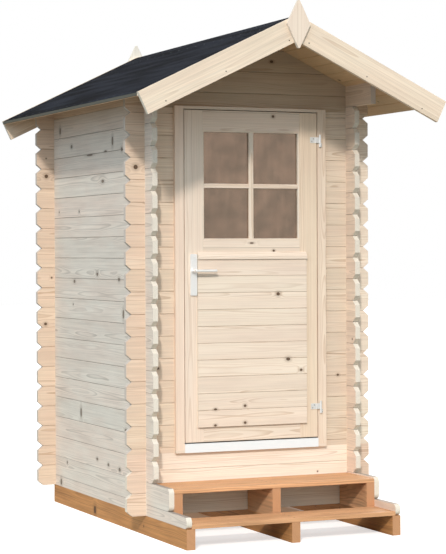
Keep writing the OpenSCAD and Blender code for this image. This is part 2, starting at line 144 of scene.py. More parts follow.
# Each wood: what it is in, its early wood and its late wood
for wood_name, (where, early, late) in {
    "spruce": ("door and its frame", (0.818, 0.681, 0.562), (0.555, 0.386, 0.263)),
    "logs": ("front and back logs", (0.758, 0.577, 0.453), (0.509, 0.325, 0.214)),
    # The logs under the door are paler than the other front logs: painted light, standing in for light
    # thrown up from the floor.
    "base": ("logs under the door", (0.89, 0.784, 0.664), (0.623, 0.482, 0.359)),
    # The left wall's logs are greyer and cooler than the front logs: painted shade, standing in for the
    # dimmer, cooler light on that side.
    "side": ("left wall's logs", (0.76, 0.661, 0.58), (0.44, 0.369, 0.318)),
    "right": ("right wall's logs", (0.81, 0.655, 0.53), (0.47, 0.362, 0.285)),
    "barge": ("barge boards", (0.81, 0.675, 0.533), (0.586, 0.414, 0.281)),
    "roof": ("roof boards", (0.638, 0.431, 0.25), (0.491, 0.287, 0.149)),
    "treated": ("steps and their bearers", (0.679, 0.375, 0.193), (0.411, 0.194, 0.093)),
    # The ground joists are darker than the steps' treated wood: painted shade, standing in for the shade
    # low down under the steps.
    "ground": ("ground joists", (0.502, 0.24, 0.088), (0.295, 0.124, 0.042)),
}.items():
    label, colours = wood_name.capitalize(), ShedTimber.__annotations__
    colours[wood_name] = colour(label, early, f"Early wood of the {where}")
    colours[wood_name + "_late"] = colour(label + " grain", late, f"Late wood of the {where}")


class ShedRoof(PropertyGroup):
    board: length("Board cover", 0.088, "Cover of one roof board", 0.05, 0.2)
    groove: length("Board joint", 0.003, "Depth of the vee along a roof board joint", 0.0, 0.008)
    felt: colour("Felt", (0.0098, 0.0109, 0.015), "Mineral face of the roofing felt")
    felt_edge: colour("Felt edge", (0.16, 0.15, 0.12), "Felt turned down at the eaves, and its cut edge")
    sheet: length("Sheet thickness", 0.0021, "Thickness of one sheet of felt", 0.001, 0.0025)
    cap: length("Ridge cap", 0.165, "Reach of the ridge cap down each slope", 0.1, 0.4)
    nail_gap: length("Nail spacing", 0.11, "Distance between the felt nails", 0.05, 0.3)


class ShedDoor(PropertyGroup):
    bead: length("Bead width", 0.008, "Width of the bead round the glass", 0.005, 0.02)
    upright: length("Upright bar", 0.026, "Width of the upright glazing bar", 0.015, 0.05)
    cross: length("Cross bar", 0.024, "Height of the cross glazing bar", 0.015, 0.05)
    ease: length("Eased edges", 0.0012, "Rounding on the edges of the door's parts", 0.0, 0.004)
    recess: length("Back recess", 0.004, "How far the boards lie back inside the leaf", 0.0, 0.01)
    boards: IntProperty(
        name="Panel boards", default=10, min=4, max=20, description="Boards in the door's panel"
    )
    # The glass's brown tone is painted shade, standing in for the dark room seen through the pane.
    glass: colour("Glass", (0.288, 0.211, 0.156), "Tone of the window glass")


class ShedIronwork(PropertyGroup):
    steel: colour("Hinge steel", (0.86, 0.845, 0.82), "Zinc plated hinges")
    satin: colour("Handle metal", (0.97, 0.943, 0.913), "Satin finish of the handle")
    screw: colour("Screw steel", (0.4, 0.37, 0.33), "Heads of the hinge screws")
    strip: colour("Threshold", (0.82, 0.83, 0.83), "White profile over the sill")
    nail: colour("Nail", (0.16, 0.13, 0.11), "Heads of the nails in the wood")
    screw_d: length("Screw head", 0.007, "Diameter of a screw's head", 0.003, 0.012)
    nail_d: length("Nail head", 0.007, "Diameter of a nail's head", 0.003, 0.012)


class ShedStage(PropertyGroup):
    sun: amount("Sun", 2.05, "Strength of the main light", high=10)
    sky: amount("Sky", 1.03, "Strength of the light all round", high=3)
    left_fill: amount("Left fill", 88, "Power of the soft light at left", unit="POWER")
    front_fill: amount("Front fill", 66, "Power of the soft front light", unit="POWER")
    rear_fill: amount("Rear fill", 240, "Power of the soft rear light", unit="POWER")
    lens: amount("Lens", 123.328, "Focal length", 20, 300, "CAMERA")


# ---------- Meshes ----------


def tidy(mesh):
    """Turns every closed shell of a mesh so that its faces point outwards."""
    work = bmesh.new()
    work.from_mesh(mesh)
    bmesh.ops.recalc_face_normals(work, faces=work.faces)
    work.to_mesh(mesh)
    work.free()


def made_object(name, part):
    """An object at the origin from (points, faces)."""
    points, faces = part
    mesh = bpy.data.meshes.new(name)
    mesh.from_pydata(points.tolist(), [], faces)
    tidy(mesh)
    made = bpy.data.objects.new(name, mesh)
    bpy.context.scene.collection.objects.link(made)
    return made


def piece(name, part, finish, body, slot, smooth=False):
    """A piece of the shed from (points, faces): it rides on a body and takes the finish given. slot is
    not used.
    """
    made = made_object(name, part)
    made.data.polygons.foreach_set("use_smooth", np.full(len(made.data.polygons), smooth))
    made.data.materials.append(finish)
    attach(made, body)
    return made


def bridged(first, second):
    """Quads between two closed rings of corners, given by their numbers."""
    return np.stack([first, np.roll(first, -1), np.roll(second, -1), second], axis=-1)


def carried(rings, capped=True):
    """A closed solid from rings of points, an array (rings, points around, 3): quads between
    rings that follow each other, and a cap at each end or else quads from the last to the first."""
    count, around = rings.shape[:2]
    corner = np.arange(count * around).reshape(count, around)
    quads = np.concatenate([bridged(a, b) for a, b in zip(corner, corner[1:])]).tolist()
    if capped:
        return rings.reshape(-1, 3), quads + [corner[0, ::-1].tolist(), corner[-1].tolist()]
    return rings.reshape(-1, 3), quads + bridged(corner[-1], corner[0]).tolist()


def joined(parts):
    """Several (points, faces) as one."""
    starts = np.cumsum([0] + [len(points) for points, _ in parts]).tolist()
    faces = [
        [corner + start for corner in face] for start, part in zip(starts, parts) for face in part[1]
    ]
    return np.concatenate([points for points, _ in parts]), faces


def copies(part, places, turn=None):
    """One small part repeated at many places, after an optional turn."""
    points, faces = part
    points = points if turn is None else points @ np.array(turn).T
    return joined([(points + np.array(place), faces) for place in places])


def eased_bar(low, high, axis, ease):
    """A straight bar with rounded edges. A ring is a rectangle whose corners are quarter
    circles, of radius ease times c and pulled in by ease times 1 - c, and c grows from a
    quarter at each end to 1 on the length."""
    low, high = np.array(low, float), np.array(high, float)
    across = [i for i in range(3) if i != axis]
    centre, half = (low + high) / 2, (high - low) / 2
    share = np.array([0.25, 0.75, 1.0, 1.0, 0.75, 0.25])
    inset = np.array([0.0, 0.3, 1.0])
    angle = np.radians(np.array([0, 45, 90, 90, 135, 180, 180, 225, 270, 270, 315, 360]))
    corner = np.repeat([[1, 1], [-1, 1], [-1, -1], [1, -1]], 3, axis=0)
    flat = np.stack([np.cos(angle), np.sin(angle)], axis=-1)
    outline = corner * (half[across] - ease) + flat * (ease * share)[:, None, None]
    rings = np.zeros((6, 12, 3))
    along = np.concatenate([low[axis] + ease * inset, high[axis] - ease * inset[::-1]])
    rings[:, :, axis] = along[:, None]
    rings[:, :, across] = centre[across] + outline
    return carried(rings)


def extruded(profile, axis, start, end, across):
    """A solid with one outline all along an axis. The outline's points are (first, second)
    on the two axes in across."""
    rings = np.zeros((2, len(profile), 3))
    rings[:, :, axis] = np.array([start, end])[:, None]
    rings[:, :, across] = np.array(profile, float)
    return carried(rings)


def grooved(start, joints, end, half, depth):
    """The line of a boarded face from start to end, with a vee at each joint: places along it,
    and how far the line dips at each."""
    vees = joints[:, None] + half * np.array([-1, 0, 1])
    dips = np.tile([0.0, depth, 0.0], len(joints))
    return np.concatenate([[start], vees.ravel(), [end]]), np.concatenate([[0.0], dips, [0.0]])


def mitred(profile, low, high):
    """A profile carried round a rectangle in x and z with mitred corners. A profile point is
    (distance in from the edge, y): each ring holds the corners at that distance."""
    inward, depth = np.array(profile, float).T
    signs = np.array([[1, 1], [-1, 1], [-1, -1], [1, -1]])
    edge = np.array([low, (high[0], low[1]), high, (low[0], high[1])])
    x, z = (edge[:, i, None] + signs[:, i, None] * inward for i in (0, 1))
    rings = np.stack([x, np.broadcast_to(depth, x.shape), z], axis=-1)
    return carried(rings, capped=False)


def turned(radii, heights, sides=12, capped=True):
    """A shape turned about +Z: circles of the given radii at the given heights."""
    angle = np.linspace(0, 2 * math.pi, sides, endpoint=False)
    level = np.outer(heights, np.ones(sides))
    rings = [np.outer(radii, np.cos(angle)), np.outer(radii, np.sin(angle)), level]
    return carried(np.stack(rings, axis=-1), capped)


def nail_head(diameter, proud, root):
    """A low domed head: the height falls with the square of the radius."""
    share = np.array([1.0, 1.0, 0.86, 0.55, 0.2])
    height = np.concatenate([[-root], proud * (1 - 0.8 * share[1:] ** 2)])
    return turned(diameter / 2 * share, height)


def screw_head(diameter, proud, root):
    """A countersunk head with a cross recess: on a grid of radius and angle the face drops by
    a third of the radius inside two crossed bars."""
    sides, radius = 32, diameter / 2
    share = np.array([1.0, 1.0, 0.93, 0.7, 0.52, 0.4, 0.22, 0.08])[:, None]
    angle = np.linspace(0, 2 * math.pi, sides, endpoint=False)
    x, y = radius * share * np.cos(angle), radius * share * np.sin(angle)
    bar = (np.minimum(abs(x), abs(y)) < 0.13 * radius) & (share < 0.6)
    height = proud * (1 - 0.3 * share**2) - bar * radius * 0.33
    height[0] = -root
    return carried(np.stack([x, y, height], axis=-1))


TO_FRONT = [[1, 0, 0], [0, 0, -1], [0, 1, 0]]
TO_BACK = [[1, 0, 0], [0, 0, 1], [0, -1, 0]]


def on_faces(part, spots, front, back):
    """A part at places (x, z) on a front face and, turned about, on a back one."""
    faces = ((front, TO_FRONT), (back, TO_BACK))
    return joined([copies(part, [(x, y, z) for x, z in spots], turn) for y, turn in faces])


# ---------- Finishes ----------


def maths(operation, swapped=False):
    """A method that adds one Math node on a wire and what follows it."""

    def method(self, *others):
        values = (*others, self) if swapped else (self, *others)
        return self.finish.node("Math", *values, operation=operation)

    return method


class Wire:
    """An output socket in a finish. Arithmetic on it adds Math nodes."""

    def __init__(self, finish, socket):
        self.finish, self.socket = finish, socket

    __add__ = __radd__ = maths("ADD")
    __mul__ = __rmul__ = maths("MULTIPLY")
    __sub__, __rsub__ = maths("SUBTRACT"), maths("SUBTRACT", swapped=True)
    __truediv__, __pow__, __abs__ = maths("DIVIDE"), maths("POWER"), maths("ABSOLUTE")
    floor, fraction, least, most = (maths(o) for o in ("FLOOR", "FRACT", "MINIMUM", "MAXIMUM"))

    def take(self, output):
        """Another output of the same node."""
        return Wire(self.finish, self.socket.node.outputs[output])

    def over(self, low, high):
        """0 below low, 1 above high, and a smooth step between."""
        return self.finish.node("MapRange", self, low, high, interpolation_type="SMOOTHSTEP")


class Finish:
    """A material, or the world, whose nodes are wired by expressions."""

    def __init__(self, name, world=None):
        self.material = world or bpy.data.materials.new(name)
        self.material.use_nodes = True
        self.tree = self.material.node_tree
        self.tree.nodes.clear()

    def node(self, kind, *values, out=0, **named):
        """One node. Its settings, such as an operation, have lower-case names and are set first.
        Its sockets have capitals, with _ for a space, or are given in order. Gives one output."""
        made = self.tree.nodes.new("ShaderNode" + kind)
        sockets = dict(enumerate(values))
        for key, value in named.items():
            if key.islower():
                setattr(made, key, value)
            else:
                sockets[key.replace("_", " ")] = value
        for key, value in sockets.items():
            if isinstance(value, Wire):
                self.tree.links.new(value.socket, made.inputs[key])
            elif value is not None:
                made.inputs[key].default_value = value
        return Wire(self, made.outputs[out]) if len(made.outputs) else None

    def mix(self, share, first, second, blend="MIX"):
        """A colour between two: share 0 is the first."""
        first, second = ((*c, 1) if isinstance(c, tuple) else c for c in (first, second))
        values = (share, *[None] * 5, first, second)
        return self.node("Mix", *values, out=2, data_type="RGBA", blend_type=blend)

    def vectors(self, operation, *values, **more):
        return self.node("VectorMath", *values, operation=operation, **more)

    def split(self, tone):
        """The red, green and blue of a colour."""
        parts = self.node("SeparateColor", tone)
        return [parts.take(name) for name in ("Red", "Green", "Blue")]

    def axes(self, vector):
        """The x, y and z of a vector."""
        parts = self.node("SeparateXYZ", vector)
        return [parts.take(name) for name in "XYZ"]

    def chance(self, number, out=0):
        """White noise: a value, or with out 1 a colour, that falls by chance for each number."""
        return self.node("TexWhiteNoise", out=out, noise_dimensions="1D", W=number)

    def noise(self, place, detail=2.0, scale=1.0, out="Fac"):
        """Soft noise at a place, which may be a tuple of its coordinates."""
        place = self.node("CombineXYZ", *place) if isinstance(place, tuple) else place
        return self.node("TexNoise", out=out, Vector=place, Scale=scale, Detail=detail)

    def surface(self, bump=None, **values):
        """The Principled shader on the output. bump is its height, distance and strength."""
        if bump:
            height, distance, strength = bump
            values["Normal"] = self.node("Bump", Height=height, Distance=distance, Strength=strength)
        self.node("OutputMaterial", self.node("BsdfPrincipled", **values))
        return self.material


def knot_field(finish, along, across, local, chance, width, rate, knots):
    """How far a point lies from the nearest knot, where 1 is the knot's rim. One chance knot
    falls in each stretch of a board, and the listed knots are set by place and half size."""
    stretch = 0.34
    spot = finish.node(
        "TexVoronoi", voronoi_dimensions="1D", W=along / stretch + chance * 57.0, Scale=1.0,
        Randomness=0.8
    )
    red, green, blue = finish.split(spot.take("Color"))
    height = (green - 0.5) * (width * 0.7)
    size = 0.0035 + blue * 0.0055
    gone = red.over(rate, rate + 0.001)
    off_along = spot.take("Distance") * stretch
    off_across = local - height
    field = (off_along**2 + off_across**2) ** 0.5 / size + gone * 50.0
    place = finish.node("CombineXYZ", along, across)
    for at_along, at_across, half_along, half_across in knots:
        off = finish.vectors("SUBTRACT", place, (at_along, at_across, 0))
        sized = finish.vectors("DIVIDE", off, (half_along, half_across, 1))
        field = field.least(finish.vectors("LENGTH", sized, out="Value"))
    return field


def wood(
    name, lay, width, kind="spruce", at=(0.0, 0.0), joint=None, knots=(), seed=0.0, turn=0.0,
    rate=0.35, tint=PLAIN, outer=PLAIN
):
    """Sawn wood as a solid pattern in the object's own space.

    lay names the axes that run along, across and through a board, and turn first turns the
    pattern about Y. Growth rings are circles round a heart that lies beside each board and
    wanders along it; their share of late wood rises slowly and drops at once. at is the board's
    middle across and through. joint is one joint of boards of this width that lie edge to edge,
    and each takes its own heart, tone and knots. rate is the share of stretches that hold a
    chance knot."""
    # tint and outer paint light or shade onto the wood's colours.
    stock = timber_stock(kind, tint, outer)
    light, dark, knot = (stock[key] for key in ("light", "dark", "knot"))
    finish = Finish(name)
    place = finish.node("TexCoord", out="Object")
    facing = place.take("Normal")
    if turn:
        place, facing = (
            finish.node("Mapping", Vector=v, Rotation=(0, turn, 0)) for v in (place, facing)
        )
    xyz = finish.axes(place)
    along, across, through = (xyz[AXES.index(axis)] for axis in lay)
    if joint is None:
        chance, local = seed, across - at[0]
    else:
        course = ((across - joint) / width).floor()
        chance = course * 0.731 + seed
        local = across - (course + 0.5) * width - joint
    red, green, blue = finish.split(finish.chance(chance, out=1))

    field = knot_field(finish, along, across, local, chance, width, rate, knots)
    wander = finish.split(finish.noise((along * 0.9, chance * 31.0), out="Color"))
    ripple = finish.noise((along * 3.5, across * 30.0, through * 30.0))
    heart_across = local - (red - 0.5) * (width * 1.1) + (wander[0] - 0.5) * 0.05
    heart_through = through - at[1] - green * 0.05 - 0.012 + (wander[1] - 0.5) * 0.035
    bulge = (1 - field.over(0.6, 5.0)) * 0.004
    radius = (heart_across**2 + heart_through**2) ** 0.5 + ripple * 0.004 + bulge
    phase = radius / (stock["ring"] * (0.75 + blue * 0.7))
    step = phase.fraction()
    each = finish.chance(phase.floor() + chance * 13.0)
    late = step.over(0.4, 0.95) * (1 - step.over(0.95, 1.0)) * (0.3 + each * 0.7)
    fibre = finish.noise((along * 9.0, across * 330.0, through * 330.0))
    streak = finish.noise((along * 2.6, across * 85.0, through * 85.0), 3.0)
    cloud = finish.noise((along * 4.0, across * 13.0, through * 13.0), 3.0)

    # Past the corners the log ends take the plain log colours times outer, which paints light onto them
    # where it is given.
    if "beyond" in stock:
        outer_light, outer_dark = stock["beyond"]
        past = abs(along).over(LOG_CORNER, LOG_CORNER + 0.002)
        light, dark = finish.mix(past, light, outer_light), finish.mix(past, dark, outer_dark)
    tone = finish.mix((late * stock["contrast"]).least(1.0), light, dark)
    cast = green * 0.6 + cloud.over(0.35, 0.65) * 0.4
    tone = finish.mix(1.0, tone, finish.mix(cast, stock["warm"], stock["cool"]), "MULTIPLY")
    level = 0.92 + blue * 0.075 + streak * stock["streak"] + cloud * stock["cloud"] + fibre * 0.08
    level = level - 0.5 * (stock["streak"] + stock["cloud"])
    tone = finish.vectors("SCALE", tone, Scale=level)
    ends = abs(finish.axes(facing)[AXES.index(lay[0])]).over(0.3, 0.55)
    cut = finish.mix(late * 0.55 + fibre * 0.15, stock["end"], dark)
    tone = finish.mix(ends, tone, cut)
    halo = (1 - field.over(0.9, 2.8)) * 0.42 * (1 - ends)
    tone = finish.mix(halo, tone, finish.mix(0.5, dark, knot))
    core = (1 - field.over(0.85, 1.05)) * (1 - ends)
    rim = field.over(0.35, 0.8)
    tone = finish.mix(core * 0.92, tone, finish.mix(rim * 0.75, knot, darker(knot, 0.35)))
    if joint is not None:
        seam = abs(local).over(width / 2 - 0.0018, width / 2 - 0.0006) * stock["seam"]
        tone = finish.mix(seam, tone, darker(stock["dark"], 0.45))
    return finish.surface(
        Base_Color=tone, Roughness=0.60 - late * 0.1 + fibre * 0.1, Specular_IOR_Level=0.3,
        bump=(late * 0.35 + fibre * 0.45 - core * 0.4, 0.0006, 0.35)
    )


def tinted(tone, tint):
    """A colour times a tint."""
    return tuple(c * share for c, share in zip(tone, tint))


def darker(tone, share):
    """A colour times a number."""
    return tuple(c * share for c in tone)


# What differs from planed spruce in the figure of each wood
SAWN = {
    "contrast": 0.9, "streak": 0.95, "cloud": 0.4, "seam": 0.0, "warm": (1.0, 0.95, 0.92),
    "cool": (1.0, 1.0, 1.0), "knot": (0.11, 0.055, 0.028)
}
WALL = {"contrast": 0.65, "streak": 0.42, "cloud": 0.2, "seam": 0.75}
# A cooler cast and paler knots for the left wall's logs: painted shade, standing in for the cooler light
# on that side.
PAINTED_COOL_SHADE = {"knot": (0.2, 0.145, 0.1), "warm": (1.0, 0.955, 0.93), "cool": (0.95, 1.0, 1.0)}
FIGURES = {
    "logs": {"contrast": 0.75, "streak": 0.34, "warm": (1.0, 0.975, 0.95), "cool": (0.98, 1.0, 0.965)},
    "base": {"contrast": 0.7, "streak": 0.3},
    "barge": {"contrast": 0.9, "streak": 0.5},
    "finial": {"contrast": 0.35, "streak": 0.2},
    "side": {**WALL, **PAINTED_COOL_SHADE},
    "right": WALL,
    "treated": SAWN,
    "ground": SAWN,
}
ENDS = {"logs": "log_end", "treated": "treated_end", "ground": "treated_end"}


def timber_stock(kind, tint, outer):
    """The colours and figure of one kind of wood. tint paints light or shade onto its face, and
    outer paints light onto the log ends past the corners, which take the plain log colours."""
    t = bpy.context.scene.shed_timber
    named = "spruce" if kind == "finial" else kind
    stock = {
        "light": tinted(getattr(t, named), tint), "dark": tinted(getattr(t, named + "_late"), tint),
        "end": tuple(getattr(t, ENDS.get(kind, "spruce_end"))), "knot": tuple(t.knot), "ring": t.ring,
        "contrast": 0.6, "streak": 0.24, "cloud": 0.09, "seam": 0.55,
        "warm": (1.0, 0.965, 0.955), "cool": (0.985, 1.0, 0.985)
    }
    if kind in ("logs", "base"):
        stock["beyond"] = (tinted(t.logs, outer), tinted(t.logs_late, outer))
    return {**stock, **FIGURES.get(kind, {})}


def plank(node, along, seed, kind="spruce", rate=0.12, name=None, **more):
    """Finishes one length of wood. Of the two axes that its grain doesn't run along, the wider
    one is its face."""
    more.update(seed=seed, rate=rate)
    size, centre = span(node), middle(node)
    rest = sorted((a for a in AXES if a != along), key=lambda a: -size[AXES.index(a)])
    at = tuple(centre[AXES.index(a)] for a in rest)
    width = size[AXES.index(rest[0])]
    coat(wood(name or node, along + "".join(rest), width, kind, at, **more), node)


def coat(finish, *nodes):
    """Gives CAD nodes a finish through their objects' material slots."""
    for node in nodes:
        target = NODES[node]
        if not target.material_slots:
            target.data.materials.append(finish)
        for place in target.material_slots:
            place.material = finish


def metal(name, tone, roughness, grain, bare=1.0):
    """Bare or plated metal with a fine brushed haze. bare is the share of bare metal."""
    finish = Finish(name)
    haze = finish.noise(finish.node("TexCoord", out="Object"), 3.0, grain)
    return finish.surface(
        Base_Color=finish.mix(haze, darker(tone, 0.92), tuple(tone)), Metallic=bare,
        Roughness=roughness + haze * 0.12, bump=(haze, 0.0002, 0.15)
    )


# ---------- Operators ----------


class ShedJob:
    bl_options = {"REGISTER", "UNDO"}


class SHED_OT_walls(ShedJob, Operator):
    """Finish the log walls, the eaves logs and the logs beside the steps"""

    bl_idname = "shed.walls"
    bl_label = "Log walls"

    # Knots: place along and across the logs, and half sizes, in metres
    left_knots = (
        (1.338, 2.138, 0.012, 0.020), (0.473, 2.036, 0.012, 0.024), (1.138, 2.039, 0.015, 0.010),
        (0.332, 1.984, 0.012, 0.011), (0.146, 2.042, 0.014, 0.011), (0.834, 1.977, 0.050, 0.005),
        (0.581, 1.986, 0.020, 0.005), (0.627, 1.827, 0.020, 0.009), (0.721, 1.325, 0.014, 0.009),
        (0.383, 1.300, 0.014, 0.010), (1.099, 1.282, 0.015, 0.009), (0.320, 1.119, 0.011, 0.024),
        (0.998, 0.553, 0.012, 0.027), (0.290, 0.510, 0.014, 0.010), (0.736, 0.319, 0.013, 0.008),
        (0.559, 0.305, 0.013, 0.008), (0.386, 0.296, 0.014, 0.010), (1.348, 0.128, 0.014, 0.018)
    )
    front_knots = (
        (-0.637, 1.876, 0.012, 0.012), (0.508, 0.787, 0.007, 0.006), (0.126, 2.438, 0.010, 0.007),
        (-0.520, 0.850, 0.007, 0.006)
    )
    back_knots = ((-0.636, 1.884, 0.011, 0.011), (-0.645, 1.032, 0.009, 0.008))

    def execute(self, context):
        for hand, kind, knots, seed, rate in (
            ("left", "side", self.left_knots, 3.1, 0.06), ("right", "right", (), 8.7, 0.3)
        ):
            finish = wood(
                hand + "_side_logs", "yzx", LOG_H, kind, (0, middle(hand + "_wall").x), SIDE_JOINT,
                knots, seed, rate=rate
            )
            coat(finish, hand + "_wall", hand + "_sill_log", hand + "_step_log")
            plank(hand + "_eaves_log", "y", seed + 1.7, "logs", rate=0.1)

        def wall(node, kind="logs", knots=self.front_knots, seed=21.3, rate=0.05, **tints):
            """Logs that run along X, with their grain about the middle of the node."""
            at = (0, middle(node).y)
            finish = wood(
                node, "xzy", LOG_H, kind, at, FRONT_JOINT, knots, seed, rate=rate, **tints
            )
            coat(finish, node)

        # Painted light and shade: the left front wall is lighter and the right one darker, as light
        # falls off to the right.
        wall("front_wall_left", tint=(1.07, 1.13, 1.16))
        # Its log ends past the corner are painted lighter, where the side logs cast their shadow.
        wall("front_wall_right", tint=(0.96, 1.04, 1.08), outer=(1.15, 1.27, 1.36))
        # The gable's logs are painted darker: painted shade, standing in for the deep shade under the
        # roof's overhang.
        wall("front_gable", tint=(0.74, 0.75, 0.72))
        # The logs under the door take the paler base colours, a painted light from the floor.
        wall("front_wall_base", "base", (), 27.6)
        wall("back_wall", "logs", self.back_knots, 34.9, 0.3)
        return {"FINISHED"}


class SHED_OT_steps(ShedJob, Operator):
    """Finish the ground joists and the step bearers, and lay the boards of both steps"""

    bl_idname = "shed.steps"
    bl_label = "Joists and steps"

    joist_knots = ((0.776, 0.037, 0.018, 0.022),)

    def execute(self, context):
        # The joists take the darker ground colours, a painted shade.
        plank("joist_left", "y", 2.0, "ground", 0.25, knots=self.joist_knots)
        plank("joist_middle", "y", 5.0, "ground", 0.25)
        plank("joist_right", "y", 7.0, "ground", 0.25)
        plank("upper_step_bearers", "y", 9.0, "treated", 0.35, "step_bearers")
        ease = 0.0022
        for node, count, seed in STEPS:
            low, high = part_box(node)
            pitch = tread_pitch(node, count)
            at, joint = (0, middle(node).z), low.y - TREAD_GAP / 2
            finish = wood(node, "xyz", pitch, "treated", at, joint, seed=seed, rate=0.12)
            boards = [
                eased_bar((low.x, y, low.z), (high.x, y + pitch - TREAD_GAP, high.z), 0, ease)
                for y in low.y + pitch * np.arange(count)
            ]
            made = piece(node + "_boards", joined(boards), finish, "shed", "treated_wood")
            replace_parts(made, node)
        return {"FINISHED"}


class SHED_OT_trim(ShedJob, Operator):
    """Finish the barge boards, finials, ridge beam, floor bearers and the door frame"""

    bl_idname = "shed.trim"
    bl_label = "Barge boards, frame and beams"

    def execute(self, context):
        across = RIDGE_Z * math.cos(PITCH) - BARGE_WIDTH / 2
        for node, turn, seed in (
            ("barge_front_left", PITCH, 4.2), ("barge_rear_left", PITCH, 15.2),
            ("barge_front_right", -PITCH, 6.3), ("barge_rear_right", -PITCH, 17.3)
        ):
            at = (across, middle(node).y)
            finish = wood(node, "xzy", BARGE_WIDTH, "barge", at, seed=seed, turn=turn, rate=0.0)
            coat(finish, node)
        plank("finial_front", "z", 1.2, "finial", 0.0)
        # The rear finial is painted paler and cooler than the front one: painted light, standing in for
        # the pale haze over it.
        plank("finial_rear", "z", 2.8, "finial", 0.0, tint=(1.03, 1.18, 1.27))
        plank("ridge_beam", "y", 3.9)
        # Painted light and shade: the left jamb is lighter and the right one darker, as light falls off
        # to the right.
        plank("door_jamb_left", "z", 5.1, tint=(1.08, 1.05, 1.04))
        plank("door_jamb_right", "z", 6.6, tint=(0.97, 0.95, 0.92))
        plank("door_head", "x", 7.4)
        plank("door_sill", "x", 8.8)
        plank("door_ledge", "x", 9.3)
        plank("floor_bearers", "x", 14.0, rate=0.35)
        return {"FINISHED"}


class SHED_OT_roof_boards(ShedJob, Operator):
    """Lay the tongued roof boards on both slopes, with a vee along each joint below"""

    bl_idname = "shed.roof_boards"
    bl_label = "Roof boards"

    def execute(self, context):
        roof = context.scene.shed_roof
        for side, hand in ((-1, "left"), (1, "right")):
            node = "roof_boards_" + hand
            low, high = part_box(node)
            reach = high.x - low.x - HEM_THICK
            plumb = ROOF_BOARD / math.cos(PITCH)
            under = high.z - plumb
            step = roof.board * math.cos(PITCH)
            joints = np.arange(reach - step, step * 0.3, -step)
            run, rise = grooved(reach, joints, 0.0, -roof.groove, roof.groove / math.cos(PITCH))
            below = np.stack([side * run, under - run * math.tan(PITCH) + rise], axis=-1)
            above = [[0.0, under + plumb], [side * reach, under + plumb - reach * math.tan(PITCH)]]
            part = extruded(np.concatenate([below, above]), 1, low.y, high.y, (0, 2))
            at, joint = (0, under - 0.3), side * (reach - 40 * step)
            finish = wood(node, "yxz", step, "roof", at, joint, seed=40.0 + side, rate=0.3)
            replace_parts(piece("roof_deck_" + hand, part, finish, *ON_SHED), node)
        return {"FINISHED"}


def felt_finish(roof):
    """Mineral felt: fine granules, faint streaks along the sheets, and a paler cut edge."""
    finish = Finish("mineral_felt")
    place = finish.node("TexCoord", out="Object")
    x, y, z = finish.axes(place)
    grit = finish.node("TexVoronoi", Vector=place, Scale=620.0)
    speck = finish.split(grit.take("Color"))
    run = finish.noise((x * 16.0, y * 1.6, z * 16.0), 4.0)
    band = finish.noise((x * 5.0, y * 0.8), 2.0)
    level = speck[0] * 0.25 + run.over(0.35, 0.65) * 0.65 + band * 0.25
    face = finish.mix(level, darker(roof.felt, 0.05), darker(roof.felt, 2.1))
    side = 1 - abs(finish.axes(place.take("Normal"))[2]).over(0.3, 0.6)
    return finish.surface(
        Base_Color=finish.mix(side * 0.8, face, tuple(roof.felt_edge)),
        Roughness=0.86 + speck[1] * 0.1, Specular_IOR_Level=0.03,
        bump=(grit.take("Distance") + run * 0.8, 0.0012, 0.5)
    )


class SHED_OT_roof_felt(ShedJob, Operator):
    """Lay a sheet of felt on each slope and a cap sheet over the ridge, and nail them"""

    bl_idname = "shed.roof_felt"
    bl_label = "Roofing felt"

    def execute(self, context):
        roof = context.scene.shed_roof
        low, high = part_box("roof_felt")
        tilt, reach = math.tan(PITCH), high.x
        full, fold, thin = 0.003, 0.0135, HEM_THICK
        base = RIDGE_Z - full / math.cos(PITCH)

        def line(run, lift):
            """The point at a level distance from the ridge and a height square to the slope."""
            return [run, base - abs(run) * tilt + lift / math.cos(PITCH)]

        lap = roof.cap * math.cos(PITCH)
        cap_top = full * 0.97
        hem = base - reach * tilt - fold
        half = [
            line(reach - thin, 0.0), [reach - thin, hem + 0.0006], [reach - thin * 0.6, hem],
            [reach - thin * 0.1, hem + 0.0006], line(reach, roof.sheet * 0.5),
            line(reach - 0.004, roof.sheet), line(lap + 0.001, roof.sheet), line(lap, cap_top),
            line(0.020, full), line(0.010, full * 0.75)
        ]
        over = half + [[0.0, base + full * 0.35 - 0.001]] + [[-x, z] for x, z in reversed(half)]
        under = [line(-0.02, 0.0), [0.0, base], line(0.02, 0.0)]
        part = extruded(over + under, 1, low.y, high.y, (0, 2))
        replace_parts(piece("felt_sheets", part, felt_finish(roof), "shed", "felt"), "roof_felt")

        head = nail_head(0.008, 0.0009, 0.001)
        end_in, eaves_in, lap_in = 0.02, 0.022, 0.018
        parts = []
        count = int((high.y - low.y) / roof.nail_gap)
        rows = np.linspace(low.y + end_in, high.y - end_in, count)
        for side in (-1, 1):
            cos, sin = math.cos(side * PITCH), math.sin(side * PITCH)
            turn = [[cos, 0, sin], [0, 1, 0], [-sin, 0, cos]]
            for run, lift in ((reach - eaves_in, roof.sheet), (lap - lap_in, cap_top)):
                x, z = line(run, lift)
                places = np.stack([np.full(count, side * x), rows, np.full(count, z)], axis=-1)
                parts.append(copies(head, places, turn))
        zinc = metal("clout_zinc", (0.1, 0.105, 0.115), 0.6, 300.0)
        piece("felt_nails", joined(parts), zinc, "shed", "felt", smooth=True)
        return {"FINISHED"}


